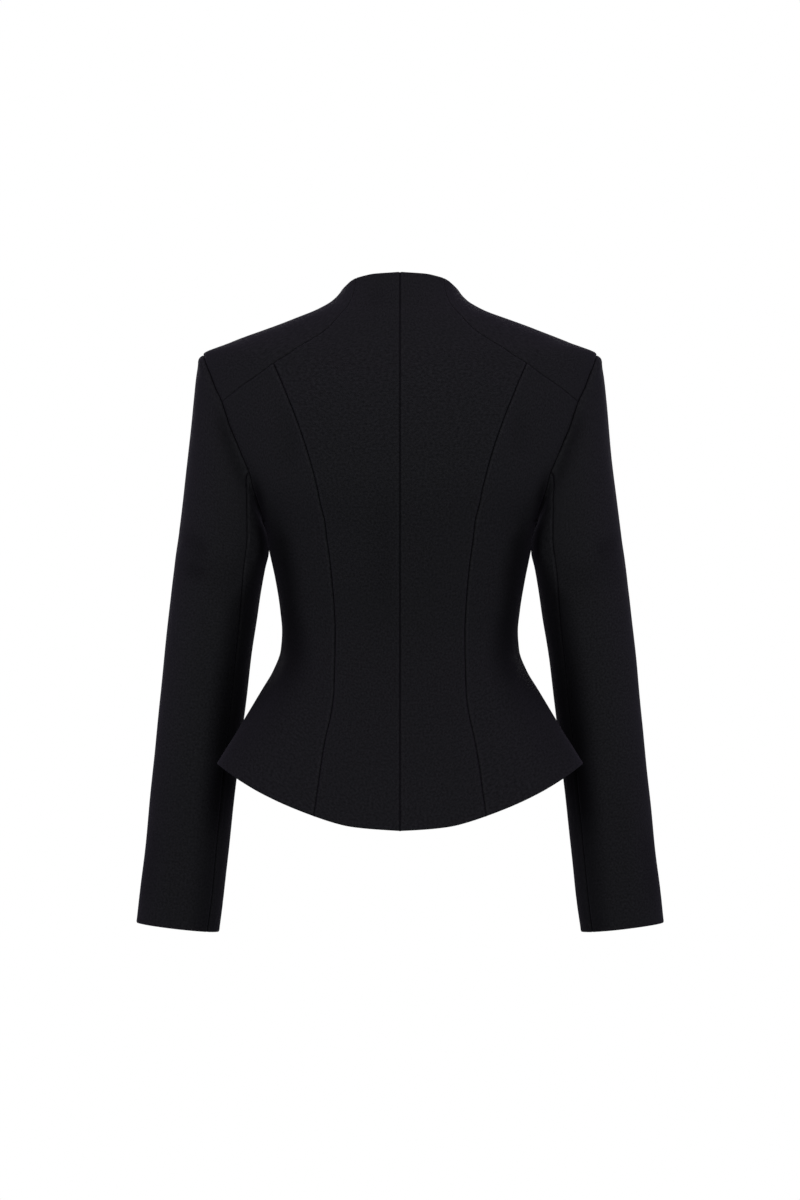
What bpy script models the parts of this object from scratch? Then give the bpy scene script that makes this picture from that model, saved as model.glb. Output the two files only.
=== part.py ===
"""A wrap blazer in its worn, hollow form: straight shoulders, two-piece sleeves, princess seams and
a flared peplum with side tips.

Tables are in millimetres and degrees. +Z is up, -Y is the back of the garment, +Y its front and +X
its right side. The origin lies on the centre plane, level with the side of the neck, above the
middle of the shoulder line. A place on the torso is a turn round it (0 centre back, 90 right side,
180 centre front) and a height. Each piece is worked out for the right half and mirrored for the left.
"""

import bisect
import math
from collections import namedtuple

import bmesh
import bpy
from mathutils import Vector

OBJECT_NAME = "wrap_blazer"
MM = 0.001
CLOTH = 2.0
SEAM_GAP = 0.3
SLEEVE_GAP = 0.45
LAP_LIFT = 3.3

CLOTH_COLOUR = (0.0095, 0.0093, 0.0118, 1.0)
CLOTH_ROUGHNESS = 0.82

Torso = namedtuple("Torso", "height half_width back_y front_y side_y")
TORSO = [
    Torso(30, 52, -50, 40, -4),
    Torso(20, 57, -54, 42, -4),
    Torso(10, 62, -58, 44, -4),
    Torso(0, 70.8, -62, 46, -3),
    Torso(-10, 87.5, -66, 49, -2),
    Torso(-20, 113, -71, 53, -1),
    Torso(-32, 145, -76, 60, 0),
    Torso(-45, 179, -81, 67, 0),
    Torso(-58, 209, -86, 73, 0),
    Torso(-75, 212, -91, 80, 0),
    Torso(-100, 212, -97, 91, 0),
    Torso(-130, 208.5, -101, 104, 0),
    Torso(-160, 199, -103, 115, 0),
    Torso(-190, 182, -102.5, 123, 0),
    Torso(-212, 163.5, -100.5, 126.5, 0),
    Torso(-225, 152, -98.5, 126.5, 0),
    Torso(-236, 145, -96.5, 125, 0),
    Torso(-250, 141, -94, 122, 0),
    Torso(-265, 138.5, -91.5, 117, 0),
    Torso(-297, 132, -85.5, 107, 0),
    Torso(-329, 126.6, -80, 101, -1),
    Torso(-350, 124.6, -78, 99.5, -2),
    Torso(-371, 126.2, -80, 101, -4),
    Torso(-392, 133.9, -85.5, 104.5, -8),
    Torso(-413, 146, -92, 108.5, -13),
    Torso(-440, 162, -101, 114, -20),
    Torso(-490, 192.3, -119.5, 126, -34),
    Torso(-530, 215.5, -134, 134, -44),
    Torso(-565, 236, -146, 140, -50),
]
# How full each section is: 2 in both is an ellipse, and a corner under 2 draws the side to an edge.
SECTION_POWER = 2.25
BACK_CORNER = 2.0
FRONT_CORNER = 2.0
TIP_BACK_CORNER = 1.9
TIP_FRONT_CORNER = 1.0
CORNER_TOP = -400
CORNER_BOTTOM = -500

# Shaping that the seams and darts give, in or out of the plain section.
Rise = namedtuple("Rise", "front x height toward_y width_x width_z")
RISES = [
    Rise(True, 88, -212, 12, 42, 52),
    Rise(False, 80, -130, -5, 50, 75),
    Rise(False, 0, -230, 3, 18, 190),
]

# Edges of the right half as x against height, or height against x or turn.
Edge = namedtuple("Edge", "x height")
BACK_PRINCESS = [
    Edge(132.2, -70.5),
    Edge(102.9, -142.3),
    Edge(84.2, -208.2),
    Edge(72.3, -283.6),
    Edge(67.9, -359.4),
    Edge(68.9, -415.8),
    Edge(79.1, -471.5),
    Edge(89, -541),
]
YOKE_SEAM = [
    Edge(46.5, 10.4),
    Edge(48, 4.9),
    Edge(52.5, -4.9),
    Edge(60.9, -17),
    Edge(70.2, -28.3),
    Edge(85.8, -40.7),
    Edge(109.7, -56.2),
    Edge(132.2, -70.5),
    Edge(149.9, -83.4),
    Edge(166.3, -94.2),
]
BACK_HEM = [
    Edge(0, -555.7),
    Edge(24.7, -554.3),
    Edge(49.5, -551.8),
    Edge(74.2, -545.9),
    Edge(89, -541),
    Edge(99.2, -538.1),
    Edge(124.3, -527.3),
    Edge(149.8, -515.7),
    Edge(167.1, -505.9),
    Edge(192.3, -490),
]
FRONT_HEM = [
    Edge(0, -518),
    Edge(20, -520),
    Edge(60, -519),
    Edge(105, -512),
    Edge(150, -502),
    Edge(192.3, -490),
]
FRONT_PRINCESS = [
    Edge(105, -512),
    Edge(93, -430),
    Edge(88, -350),
    Edge(92, -285),
    Edge(101, -225),
    Edge(121, -184),
    Edge(148, -162),
]
# The right front's free edge, which crosses the centre front below the neck and comes back to it.
WRAP_EDGE = [
    Edge(63, 5),
    Edge(61, 0),
    Edge(60, -5),
    Edge(58, -10),
    Edge(57.5, -20),
    Edge(50.5, -50),
    Edge(35, -100),
    Edge(15, -150),
    Edge(0, -185),
    Edge(-18, -230),
    Edge(-38, -280),
    Edge(-54, -320),
    Edge(-62, -347),
    Edge(-60, -375),
    Edge(-54, -410),
    Edge(-42, -445),
    Edge(-24, -480),
    Edge(0, -518),
]
Neck = namedtuple("Neck", "turn height")
BACK_NECK = [
    Neck(0, 26.4),
    Neck(33, 24.7),
    Neck(44.6, 22.9),
    Neck(54.7, 21.2),
    Neck(61, 19.4),
    Neck(67, 17.7),
    Neck(71, 15.8),
    Neck(76.5, 13.9),
    Neck(82, 12),
    Neck(90, 10.2),
]
YOKE_NECK_TURN = 55
SIDE_TURN = 90
CENTRE_FRONT_TURN = 180
TIP_HEIGHT = -490
RIDGE_NECK_HEIGHT = 10.2

# Stations round the right armhole, shared by the torso's pieces and the sleeve.
Station = namedtuple("Station", "turn height")
ARMHOLE = [
    Station(90, -235.5),
    Station(80, -231),
    Station(70, -217),
    Station(62.6, -200),
    Station(58.5, -184),
    Station(58, -159),
    Station(59.5, -136.5),
    Station(62.2, -110.4),
    Station(66.5, -95),
    Station(72, -77),
    Station(80, -63),
    Station(90, -58),
    Station(97, -60.5),
    Station(103, -68),
    Station(108, -80),
    Station(112, -95),
    Station(115.5, -112),
    Station(118.5, -131),
    Station(120.5, -150),
    Station(121.5, -172),
    Station(119, -195),
    Station(112, -214),
    Station(102, -229),
]
UNDERARM = 0
SLEEVE_BACK_SEAM = 4
YOKE_END = 7
SHOULDER_TIP = 11
PRINCESS_END = 18
SLEEVE_FRONT_SEAM = 20

# Sections of the right sleeve: its outer and inner points in the front view, and its form in depth.
Sleeve = namedtuple("Sleeve", "outer_x outer_z inner_x inner_z centre_y half_depth back_seam")
SLEEVE = [
    Sleeve(212.5, -63, 145.3, -236.5, 3, 60, 118),
    Sleeve(216, -80, 144.3, -240.5, 3, 60.5, 119),
    Sleeve(218.8, -106, 143, -246, 2, 61, 120),
    Sleeve(221.5, -135, 141.9, -252.5, 1, 60.5, 121),
    Sleeve(224.5, -165, 141.2, -260, 1, 60, 122),
    Sleeve(228.6, -200, 141.2, -269, 2, 59.5, 124),
    Sleeve(233.4, -238, 143, -284, 4, 58.5, 126),
    Sleeve(238.8, -277, 147.7, -312, 6, 56.5, 128),
    Sleeve(244.5, -322, 151.8, -340, 10, 54, 130),
    Sleeve(250.1, -372.2, 158.5, -382.7, 16, 51, 132),
    Sleeve(255.8, -424.5, 165.3, -435.1, 24, 48.5, 134),
    Sleeve(261.5, -479.1, 171.9, -489.1, 33, 46.5, 135),
    Sleeve(267.1, -531.7, 178.2, -541.8, 41, 44.5, 136),
    Sleeve(273.1, -585.5, 184.4, -595.6, 48, 42.5, 137),
    Sleeve(279, -630.3, 189.2, -640.4, 54, 41, 138),
    Sleeve(282.8, -663.5, 193.9, -673.6, 59, 40, 138),
]
SLEEVE_FRONT_ANGLE = 231
CAP_RINGS = 4
LONGEST_MITRE = 1.6
SHARPEST_MITRE = 0.25
FOLD_LEAN = 0.3

# The lap: how the right front rises over the left one.
LAP_FLAT_X = 64
LAP_END_X = 84
LAP_TOP = -90
LAP_FULL = -165

# Steps along the pieces.
SKIRT_ROWS = 14
ARM_ROWS = 7
YOKE_ROWS = 4
INNER_YOKE_STEPS = 6
OUTER_YOKE_STEPS = 6
BACK_COLUMNS = 5
FRONT_SIDE_COLUMNS = 5
BACK_ROW_SPLIT = -250
FRONT_ROW_SPLIT = -135
FINE_STEPS = 240
TURN_STEP = 1.0
HEIGHT_STEP = 1.5
SHARP_EDGE = 40

Spot = namedtuple("Spot", "point normal inward")


class Track:
    """A smooth line through the rows of a table that never swings past them."""

    def __init__(self, rows):
        rows = sorted(rows)
        self.keys = [row[0] for row in rows]
        self.values = [row[1] for row in rows]
        runs = [b - a for a, b in zip(self.keys, self.keys[1:])]
        rises = [(b - a) / run for a, b, run in zip(self.values, self.values[1:], runs)]
        self.slopes = [rises[0]]
        for before, after, run, next_run in zip(rises, rises[1:], runs, runs[1:]):
            if before * after <= 0:
                self.slopes.append(0.0)
            else:
                long, short = 2 * next_run + run, next_run + 2 * run
                self.slopes.append((long + short) / (long / before + short / after))
        self.slopes.append(rises[-1])

    def __call__(self, key):
        i = min(max(bisect.bisect_right(self.keys, key) - 1, 0), len(self.keys) - 2)
        run = self.keys[i + 1] - self.keys[i]
        t = (key - self.keys[i]) / run
        rise = self.values[i + 1] - self.values[i]
        a, b = self.slopes[i] * run, self.slopes[i + 1] * run
        return self.values[i] + t * (a + t * (3 * rise - 2 * a - b + t * (a + b - 2 * rise)))


def column(table, name, key="height"):
    """One column of a table against another, as a smooth line."""
    return Track([(getattr(row, key), getattr(row, name)) for row in table])


def ease(start, stop, value):
    """0 at start, 1 at stop, and smooth between."""
    t = min(max((value - start) / (stop - start), 0.0), 1.0)
    return t * t * (3 - 2 * t)


half_width = column(TORSO, "half_width")
back_y = column(TORSO, "back_y")
front_y = column(TORSO, "front_y")
side_y = column(TORSO, "side_y")
neck_height = column(BACK_NECK, "height", "turn")


def torso_point(turn, height):
    """The cloth's outer face at a turn round the torso."""
    sine = math.sin(math.radians(turn))
    x = half_width(height) * sine
    front = math.cos(math.radians(turn)) < 0
    tip = ease(CORNER_TOP, CORNER_BOTTOM, height)
    if front:
        corner = FRONT_CORNER + (TIP_FRONT_CORNER - FRONT_CORNER) * tip
        centre = front_y(height)
    else:
        corner = BACK_CORNER + (TIP_BACK_CORNER - BACK_CORNER) * tip
        centre = back_y(height)
    depth = max(0.0, 1 - abs(sine) ** SECTION_POWER) ** (1 / corner)
    y = side_y(height) + (centre - side_y(height)) * depth
    for rise in RISES:
        if rise.front == front:
            off_x = (abs(x) - rise.x) / rise.width_x
            off_z = (height - rise.height) / rise.width_z
            y += rise.toward_y * depth * math.exp(-off_x * off_x - off_z * off_z)
    return Vector((x, y, height))


def torso_normal(turn, height):
    """The way that the outer face looks."""
    across = torso_point(turn + TURN_STEP, height) - torso_point(turn - TURN_STEP, height)
    up = torso_point(turn, height + HEIGHT_STEP) - torso_point(turn, height - HEIGHT_STEP)
    return across.cross(up).normalized()


def torso_spot(turn, height):
    normal = torso_normal(turn, height)
    return Spot(torso_point(turn, height), normal, -normal * CLOTH)


def back_place(x, height):
    """Turn and height of a point of the right back, from its x."""
    return math.degrees(math.asin(min(1.0, x / half_width(height)))), height


def front_place(x, height):
    """Turn and height of a point of the right front, from its x."""
    return CENTRE_FRONT_TURN - back_place(x, height)[0], height


def shares(start, stop, count):
    return [start + (stop - start) * i / count for i in range(count + 1)]


def spread(line, start, stop, count):
    """Places along a line, evenly spaced on the cloth."""
    places = [line(value) for value in shares(start, stop, FINE_STEPS)]
    points = [torso_point(*place) for place in places]
    run = [0.0]
    for a, b in zip(points, points[1:]):
        run.append(run[-1] + (b - a).length)
    chosen = []
    for target in shares(0.0, run[-1], count):
        i = min(max(bisect.bisect_right(run, target) - 1, 0), FINE_STEPS - 1)
        t = (target - run[i]) / (run[i + 1] - run[i])
        chosen.append(tuple(a + (b - a) * t for a, b in zip(places[i], places[i + 1])))
    chosen[0] = places[0]
    chosen[-1] = places[-1]
    return chosen


def fill(bottom, top, left, right):
    """A grid of places inside four edges that meet at their ends, as rows from the bottom up."""
    rows, columns = len(left) - 1, len(bottom) - 1
    grid = []
    for r in range(rows + 1):
        v = r / rows
        line = []
        for c in range(columns + 1):
            u = c / columns
            place = []
            for k in range(2):
                along = (1 - v) * bottom[c][k] + v * top[c][k] + (1 - u) * left[r][k] + u * right[r][k]
                low = (1 - u) * bottom[0][k] + u * bottom[-1][k]
                high = (1 - u) * top[0][k] + u * top[-1][k]
                place.append(along - (1 - v) * low - v * high)
            line.append(tuple(place))
        grid.append(line)
    return grid


def mitre(first, second):
    """Where two faces that are each moved out by one unit meet again."""
    return (first + second) / max(1 + first.dot(second), SHARPEST_MITRE)


def seam_inset(spots, r, c):
    """How far a point on a piece's edge moves into the piece, to leave the seam's gap."""
    rows, columns = len(spots) - 1, len(spots[0]) - 1
    here = spots[r][c]
    insets = []
    if c in (0, columns):
        along = spots[min(r + 1, rows)][c].point - spots[max(r - 1, 0)][c].point
        insets.append((along, spots[r][1 if c == 0 else columns - 1].point))
    if r in (0, rows):
        along = spots[r][min(c + 1, columns)].point - spots[r][max(c - 1, 0)].point
        insets.append((along, spots[1 if r == 0 else rows - 1][c].point))
    ways = []
    for along, inside in insets:
        way = here.normal.cross(along).normalized()
        ways.append(way if way.dot(inside - here.point) > 0 else -way)
    if not ways:
        return Vector((0, 0, 0))
    return mitre(ways[0], ways[-1]) * SEAM_GAP / 2


def garment_collection():
    collection = bpy.data.collections.get(OBJECT_NAME)
    if collection is None:
        collection = bpy.data.collections.new(OBJECT_NAME)
        bpy.context.scene.collection.children.link(collection)
    return collection


def cloth_material(name):
    material = bpy.data.materials.new(name + "_cloth")
    material.use_nodes = True
    shader = material.node_tree.nodes["Principled BSDF"]
    shader.inputs["Base Color"].default_value = CLOTH_COLOUR
    shader.inputs["Roughness"].default_value = CLOTH_ROUGHNESS
    shader.inputs["Metallic"].default_value = 0.0
    return material


def cloth_piece(name, spots, side):
    """A closed wall of cloth behind a grid of spots, on the right (side 1) or mirrored (side -1)."""
    rows, columns = len(spots), len(spots[0])
    bm = bmesh.new()
    faces_out, faces_in = [], []
    for r, line in enumerate(spots):
        for c, spot in enumerate(line):
            outer = spot.point + seam_inset(spots, r, c)
            for layer, point in ((faces_out, outer), (faces_in, outer + spot.inward)):
                layer.append(bm.verts.new((side * point.x * MM, point.y * MM, point.z * MM)))
    for layer in (faces_out, faces_in):
        for r in range(rows - 1):
            for c in range(columns - 1):
                i = r * columns + c
                bm.faces.new((layer[i], layer[i + 1], layer[i + columns + 1], layer[i + columns]))
    last = (rows - 1) * columns
    rim = list(range(columns))
    rim += [r * columns + columns - 1 for r in range(1, rows)]
    rim += [last + c for c in range(columns - 2, -1, -1)]
    rim += [r * columns for r in range(rows - 2, 0, -1)]
    for a, b in zip(rim, rim[1:] + rim[:1]):
        bm.faces.new((faces_out[a], faces_out[b], faces_in[b], faces_in[a]))
    bmesh.ops.recalc_face_normals(bm, faces=bm.faces)
    bmesh.ops.triangulate(bm, faces=bm.faces, quad_method="SHORT_EDGE")
    mesh = bpy.data.meshes.new(name)
    bm.to_mesh(mesh)
    bm.free()
    mesh.shade_smooth()
    mesh.set_sharp_from_angle(angle=math.radians(SHARP_EDGE))
    mesh.materials.append(cloth_material(name))
    garment_collection().objects.link(bpy.data.objects.new(name, mesh))


def armhole_places(first, last):
    """Stations of the armhole from one to another, up or down the list and past its end."""
    count = (last - first) % len(ARMHOLE)
    return [tuple(ARMHOLE[(first + i) % len(ARMHOLE)]) for i in range(count + 1)]


def sleeve_frame(ring):
    """Centre, unit axes and half sizes of one sleeve section."""
    outer = Vector((ring.outer_x, ring.centre_y, ring.outer_z))
    inner = Vector((ring.inner_x, ring.centre_y, ring.inner_z))
    outward = (outer - inner).normalized()
    depthwise = Vector((0, 1, 0))
    return (outer + inner) / 2, outward, depthwise, outward.cross(depthwise), (outer - inner).length / 2


def sleeve_points():
    """The sleeve's outer face, a ring of armhole stations for each section from the armhole down."""
    loop = [torso_point(*station) for station in ARMHOLE]
    tip, under = loop[SHOULDER_TIP], loop[UNDERARM]
    depths = [point.y for point in loop]
    hole = Sleeve(
        tip.x, tip.z, under.x, under.z, (max(depths) + min(depths)) / 2,
        (max(depths) - min(depths)) / 2, SLEEVE[0].back_seam,
    )
    centre, outward, depthwise, away, half_long = sleeve_frame(hole)
    local = []
    for point in loop:
        offset = point - centre
        local.append((
            offset.dot(outward) / half_long, offset.dot(depthwise) / hole.half_depth, offset.dot(away),
        ))
    angles = [math.degrees(math.atan2(-b, a)) % 360 for a, b, _ in local]
    angles[SHOULDER_TIP] = 0.0
    angles[UNDERARM] = 180.0
    rings = [loop]
    for k, ring in enumerate(SLEEVE, start=1):
        round_share = min(k / CAP_RINGS, 1.0)
        centre, outward, depthwise, away, half_long = sleeve_frame(ring)
        back, front = angles[SLEEVE_BACK_SEAM], angles[SLEEVE_FRONT_SEAM]
        turned = Track([
            (0, 0), (back, ring.back_seam), (180, 180), (front, SLEEVE_FRONT_ANGLE), (360, 360),
        ])
        points = []
        for angle, (a, b, off) in zip(angles, local):
            way = math.radians(turned(angle))
            a += (math.cos(way) - a) * round_share
            b += (-math.sin(way) - b) * round_share
            points.append(
                centre + outward * (a * half_long) + depthwise * (b * ring.half_depth)
                + away * (off * (1 - round_share))
            )
        rings.append(points)
    return rings


def sleeve_normals(rings):
    """The way that the sleeve's outer face looks at each of its points."""
    count = len(ARMHOLE)
    normals = []
    for k, ring in enumerate(rings):
        upper, lower = rings[max(k - 1, 0)], rings[min(k + 1, len(rings) - 1)]
        centre = sum(ring, Vector((0, 0, 0))) / count
        line = []
        for j in range(count):
            down = lower[j] - upper[j]
            around = ring[(j + 1) % count] - ring[j - 1]
            normal = around.cross(down).normalized()
            line.append(normal if normal.dot(ring[j] - centre) > 0 else -normal)
        normals.append(line)
    return normals


def armhole_seam(rings, normals):
    """Spots of the torso's edge and of the sleeve's edge at each station round the armhole."""
    torso_edge, sleeve_edge = [], []
    count = len(ARMHOLE)
    middle = sum(rings[0], Vector((0, 0, 0))) / count
    for j, station in enumerate(ARMHOLE):
        here = torso_spot(*station)
        sleeve_normal = normals[0][j]
        sleeve_way = (rings[1][j] - rings[0][j]).normalized()
        along = (rings[0][(j + 1) % count] - rings[0][j - 1]).normalized()
        torso_way = here.normal.cross(along).normalized()
        if torso_way.dot(middle - here.point) < 0:
            torso_way = -torso_way
        apart = (sleeve_way + torso_way + FOLD_LEAN * (here.normal - sleeve_normal)).normalized()
        if here.normal.dot(sleeve_way) < 0:
            fold = (here.normal + sleeve_normal).normalized()
            inward = -fold * CLOTH * min(1 / fold.dot(here.normal), LONGEST_MITRE)
            torso_edge.append(Spot(here.point, here.normal, inward))
        else:
            inward = -sleeve_normal * CLOTH
            torso_edge.append(here)
        sleeve_edge.append(Spot(here.point + apart * SLEEVE_GAP, sleeve_normal, inward))
    return torso_edge, sleeve_edge


def back_princess_places():
    line = Track([(edge.height, edge.x) for edge in BACK_PRINCESS])
    heights = shares(BACK_PRINCESS[-1].height, BACK_ROW_SPLIT, SKIRT_ROWS)
    heights += shares(BACK_ROW_SPLIT, BACK_PRINCESS[0].height, ARM_ROWS)[1:]
    return [back_place(line(height), height) for height in heights]


def yoke_places():
    """The back yoke seam from the neck to the princess seam, and from there to the armhole."""
    neck_end = (YOKE_NECK_TURN, neck_height(YOKE_NECK_TURN))
    arm_end = tuple(ARMHOLE[YOKE_END])
    neck_x = torso_point(*neck_end).x
    arm_x = torso_point(*arm_end).x
    rows = [(edge.x, edge.height) for edge in YOKE_SEAM]
    line = Track([(neck_x, neck_end[1])] + rows + [(arm_x, arm_end[1])])
    junction_x = BACK_PRINCESS[0].x

    def place(x):
        return back_place(x, line(x))

    inner = spread(place, neck_x, junction_x, INNER_YOKE_STEPS)
    outer = spread(place, junction_x, arm_x, OUTER_YOKE_STEPS)
    inner[0] = neck_end
    outer[-1] = arm_end
    return inner, outer


def side_seam_places():
    return [(SIDE_TURN, height) for height in shares(TIP_HEIGHT, ARMHOLE[UNDERARM].height, SKIRT_ROWS)]


def hem_places(table, place, start_x, stop_x, count):
    line = Track([(edge.x, edge.height) for edge in table])
    return [place(x, line(x)) for x in shares(start_x, stop_x, count)]


def front_princess_places():
    end = ARMHOLE[PRINCESS_END]
    rows = [(edge.height, edge.x) for edge in FRONT_PRINCESS]
    line = Track(rows + [(end.height, torso_point(*end).x)])
    places = spread(lambda height: front_place(line(height), height),
                    FRONT_PRINCESS[0].height, end.height, SKIRT_ROWS)
    places[-1] = tuple(end)
    return places


def wrap_edge_places():
    """The front's free edge, from the hem up to where the neckline meets the shoulder's ridge."""
    top_x = half_width(RIDGE_NECK_HEIGHT)
    line = Track([(edge.height, edge.x) for edge in WRAP_EDGE] + [(RIDGE_NECK_HEIGHT, top_x)])

    def place(height):
        return front_place(line(height), height)

    low = spread(place, WRAP_EDGE[-1].height, FRONT_ROW_SPLIT, SKIRT_ROWS)
    high = spread(place, FRONT_ROW_SPLIT, RIDGE_NECK_HEIGHT, ARM_ROWS)
    high[-1] = (SIDE_TURN, RIDGE_NECK_HEIGHT)
    return low + high[1:]


def spots_of(places):
    return [[torso_spot(*place) for place in line] for line in places]


def back_centre(princess, inner_yoke):
    heights = shares(BACK_HEM[0].height, BACK_ROW_SPLIT, SKIRT_ROWS)
    heights += shares(BACK_ROW_SPLIT, BACK_PRINCESS[0].height, ARM_ROWS)[1:]
    heights += shares(BACK_PRINCESS[0].height, BACK_NECK[0].height, INNER_YOKE_STEPS)[1:]
    centre = [(0.0, height) for height in heights]
    outer = princess + inner_yoke[::-1][1:]
    hem = hem_places(BACK_HEM, back_place, 0, BACK_PRINCESS[-1].x, BACK_COLUMNS)
    neck = [(turn, neck_height(turn)) for turn in shares(0, YOKE_NECK_TURN, BACK_COLUMNS)]
    return spots_of(fill(hem, neck, centre, outer))


def back_side(princess, outer_yoke, torso_edge):
    side = side_seam_places() + armhole_places(UNDERARM, YOKE_END)[1:]
    hem = hem_places(BACK_HEM, back_place, BACK_PRINCESS[-1].x, BACK_HEM[-1].x, OUTER_YOKE_STEPS)
    hem[-1] = side[0]
    spots = spots_of(fill(hem, outer_yoke, princess, side))
    for k in range(YOKE_END + 1):
        spots[SKIRT_ROWS + k][-1] = torso_edge[k]
    return spots


def front_side(torso_edge):
    side = side_seam_places()
    princess = front_princess_places()
    hem = hem_places(FRONT_HEM, front_place, FRONT_HEM[-1].x, FRONT_PRINCESS[0].x, FRONT_SIDE_COLUMNS)
    hem[0] = side[0]
    hem[-1] = princess[0]
    top = armhole_places(PRINCESS_END, UNDERARM)[::-1]
    spots = spots_of(fill(hem, top, side, princess))
    for c in range(FRONT_SIDE_COLUMNS + 1):
        spots[-1][c] = torso_edge[-c]
    return spots


def front(inner_yoke, outer_yoke, torso_edge):
    """The wrap front, from its hem up over the shoulder's ridge to the back yoke seam."""
    columns = INNER_YOKE_STEPS + OUTER_YOKE_STEPS
    princess = front_princess_places()
    outer = princess + armhole_places(SHOULDER_TIP, PRINCESS_END)[::-1][1:]
    free = wrap_edge_places()
    hem = hem_places(FRONT_HEM, front_place, FRONT_PRINCESS[0].x, 0, columns)
    hem[0] = princess[0]
    hem[-1] = free[0]
    ridge = spread(lambda height: (SIDE_TURN, height), ARMHOLE[SHOULDER_TIP].height,
                   RIDGE_NECK_HEIGHT, columns)
    yoke = outer_yoke[::-1] + inner_yoke[::-1][1:]
    back_arm = armhole_places(YOKE_END, SHOULDER_TIP)[::-1]
    neck = [(turn, neck_height(turn)) for turn in shares(SIDE_TURN, YOKE_NECK_TURN, YOKE_ROWS)]
    places = fill(hem, ridge, outer, free) + fill(ridge, yoke, back_arm, neck)[1:]
    spots = spots_of(places)
    for k in range(ARM_ROWS + YOKE_ROWS + 1):
        spots[SKIRT_ROWS + k][0] = torso_edge[PRINCESS_END - k]
    return spots


def lapped(spots):
    """The same piece, lifted where it lies over the other front."""
    raised = []
    for line in spots:
        raised.append([])
        for spot in line:
            share = ease(LAP_END_X, LAP_FLAT_X, spot.point.x) * ease(LAP_TOP, LAP_FULL, spot.point.z)
            point = spot.point + spot.normal * (LAP_LIFT * share)
            raised[-1].append(Spot(point, spot.normal, spot.inward))
    return raised


def sleeve_part(rings, normals, sleeve_edge, first, last):
    """The sleeve's cloth between two of its seams, as rows from the armhole down."""
    count = (last - first) % len(ARMHOLE)
    spots = []
    for k, (ring, looks) in enumerate(zip(rings, normals)):
        line = []
        for i in range(count + 1):
            j = (first + i) % len(ARMHOLE)
            line.append(sleeve_edge[j] if k == 0 else Spot(ring[j], looks[j], -looks[j] * CLOTH))
        spots.append(line)
    return spots


def build():
    for thing in list(bpy.data.objects):
        bpy.data.objects.remove(thing, do_unlink=True)
    rings = sleeve_points()
    normals = sleeve_normals(rings)
    torso_edge, sleeve_edge = armhole_seam(rings, normals)
    princess = back_princess_places()
    inner_yoke, outer_yoke = yoke_places()
    half = {
        "back_centre": back_centre(princess, inner_yoke),
        "back_side": back_side(princess, outer_yoke, torso_edge),
        "front": front(inner_yoke, outer_yoke, torso_edge),
        "front_side": front_side(torso_edge),
        "upper_sleeve": sleeve_part(rings, normals, sleeve_edge, SLEEVE_BACK_SEAM, SLEEVE_FRONT_SEAM),
        "under_sleeve": sleeve_part(rings, normals, sleeve_edge, SLEEVE_FRONT_SEAM, SLEEVE_BACK_SEAM),
    }
    for name, spots in half.items():
        cloth_piece("right_" + name, lapped(spots) if name == "front" else spots, 1)
        cloth_piece("left_" + name, spots, -1)


build()
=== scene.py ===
"""The looks of the wrap blazer: each cut piece as a fine shell of black crepe over its solid, with
rolled seams, turned edges and soft creases, in plain studio light.

Tables are in millimetres and degrees, as in the part's source: +Z up, -Y the garment's back, +X its
right side. A place on the torso is a turn round it (0 centre back, 90 right side, 180 centre front)
and a height. A place on a sleeve is a station round it and a section down it.
"""

import math
from collections import namedtuple

import bpy
import numpy as np
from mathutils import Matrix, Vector


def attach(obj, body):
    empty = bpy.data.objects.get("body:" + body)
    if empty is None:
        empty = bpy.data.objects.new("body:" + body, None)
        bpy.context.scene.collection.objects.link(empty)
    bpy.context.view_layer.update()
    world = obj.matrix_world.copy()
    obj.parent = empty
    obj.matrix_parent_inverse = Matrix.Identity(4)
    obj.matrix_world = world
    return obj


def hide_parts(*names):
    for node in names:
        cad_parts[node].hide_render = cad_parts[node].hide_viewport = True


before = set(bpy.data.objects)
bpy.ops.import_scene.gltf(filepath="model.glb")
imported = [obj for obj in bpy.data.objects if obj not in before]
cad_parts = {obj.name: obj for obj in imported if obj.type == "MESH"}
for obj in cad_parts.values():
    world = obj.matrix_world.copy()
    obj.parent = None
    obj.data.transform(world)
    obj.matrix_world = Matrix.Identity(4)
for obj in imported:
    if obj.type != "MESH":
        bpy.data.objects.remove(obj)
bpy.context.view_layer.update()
SCENE = bpy.context.scene


def table(kind, rows):
    """Rows with their columns named."""
    return [kind(*row) for row in rows]


CAMERA_PLACE = (0.0, -5.0, -0.318)
CAMERA_LENS = 141.5
AMBIENT = 0.05
FLOOR_Z = -1.38
FLOOR_CORNERS = [(-3, -3), (3, -3), (3, 3), (-3, 3)]
MIDDLE = (0.0, 0.0, -0.25)
CHEST = (0.0, 0.0, -0.2)
WHITE = (1.0, 1.0, 1.0)
EVEN = (0.98, 1.0, 0.96)
COOL = (0.86, 0.76, 1.0)
LILAC = (0.96, 0.79, 1.0)
# Name, place, aim, size, power and colour, in metres and watts.
LIGHTS = [
    ("left_light", (-3.6, 0.2, 0.1), MIDDLE, 1.6, 38.0, COOL),
    ("right_light", (3.6, 0.2, 0.1), MIDDLE, 1.6, 38.0, COOL),
    ("camera_light", (0.0, -5.6, 1.2), CHEST, 1.4, 184.0, EVEN),
    ("far_left_light", (-1.6, 4.2, 0.9), MIDDLE, 1.6, 26.0, WHITE),
    ("far_right_light", (1.6, 4.2, 0.9), MIDDLE, 1.6, 26.0, WHITE),
    ("top_light", (0.0, -0.5, 2.9), CHEST, 1.8, 50.0, LILAC),
]

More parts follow.
